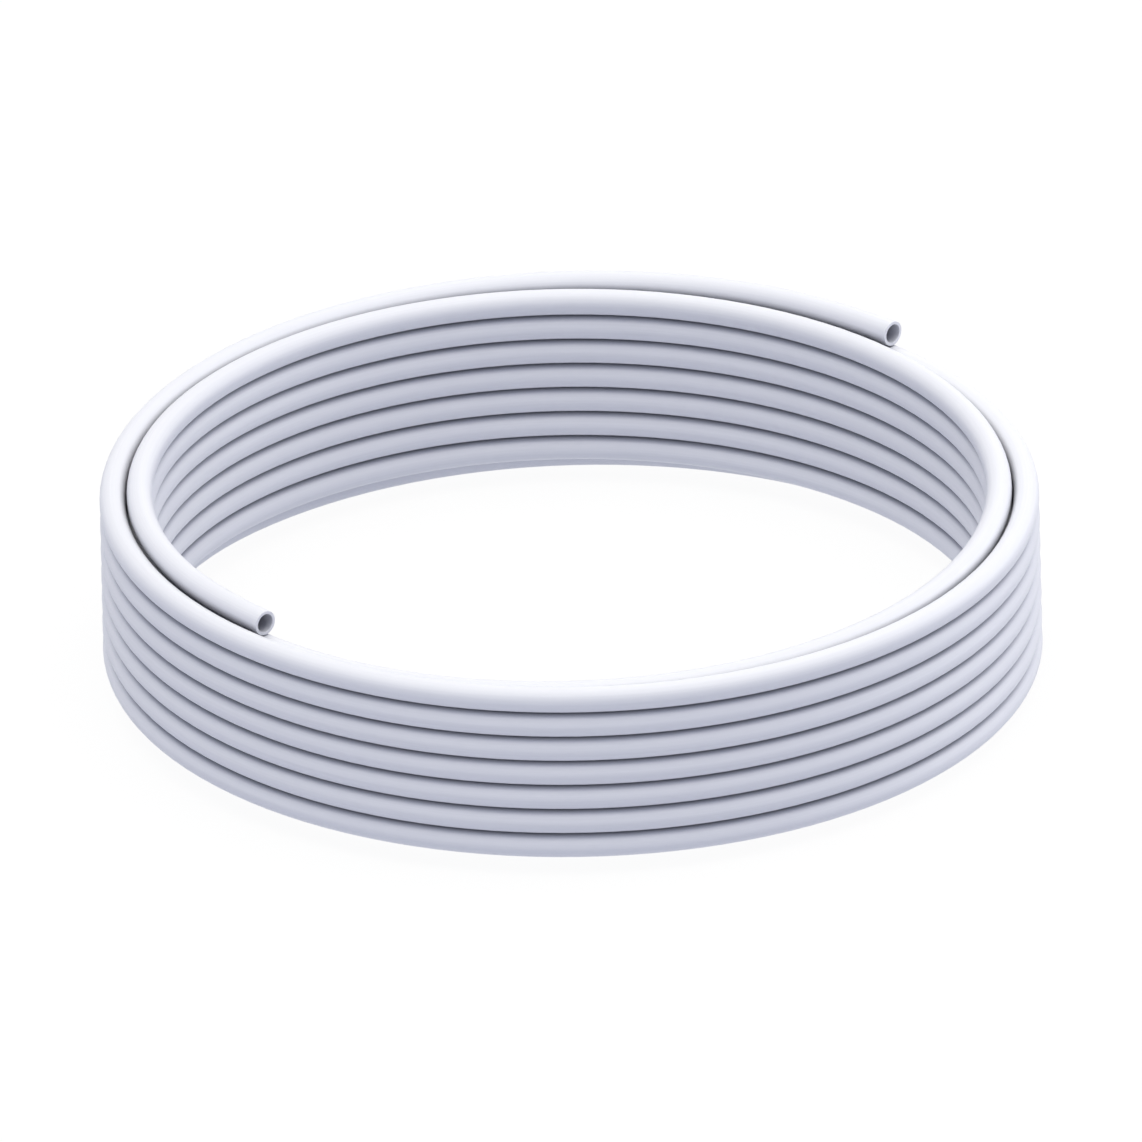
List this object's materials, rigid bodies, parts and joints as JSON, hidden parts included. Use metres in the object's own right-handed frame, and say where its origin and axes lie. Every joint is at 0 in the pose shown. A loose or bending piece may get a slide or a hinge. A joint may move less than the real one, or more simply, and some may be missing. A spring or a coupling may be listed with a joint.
{
  "type": "vacuum hose",
  "caption": "Smooth-walled flexible plastic hose wound in a neat round layered coil, with both ends cut square and open to take a hose tail.",
  "frame": {"origin": "on the surface that the coil lies on, under the middle of the coil", "axes": "+Z is the coil's axis, upwards; -Y is towards the viewer of the picture and +X to the viewer's right. Angles in the notes are anticlockwise from +X, seen from above"},
  "size_m": [0.5812, 0.5812, 0.1365],
  "materials": {
    "hose": "extruded plasticised PVC, white, satin gloss with fine die lines along its length"
  },
  "bodies": {
    "root": {"hose_coil": "hose", "outer_end": "hose", "inner_end": "hose"}
  },
  "joints": []
}
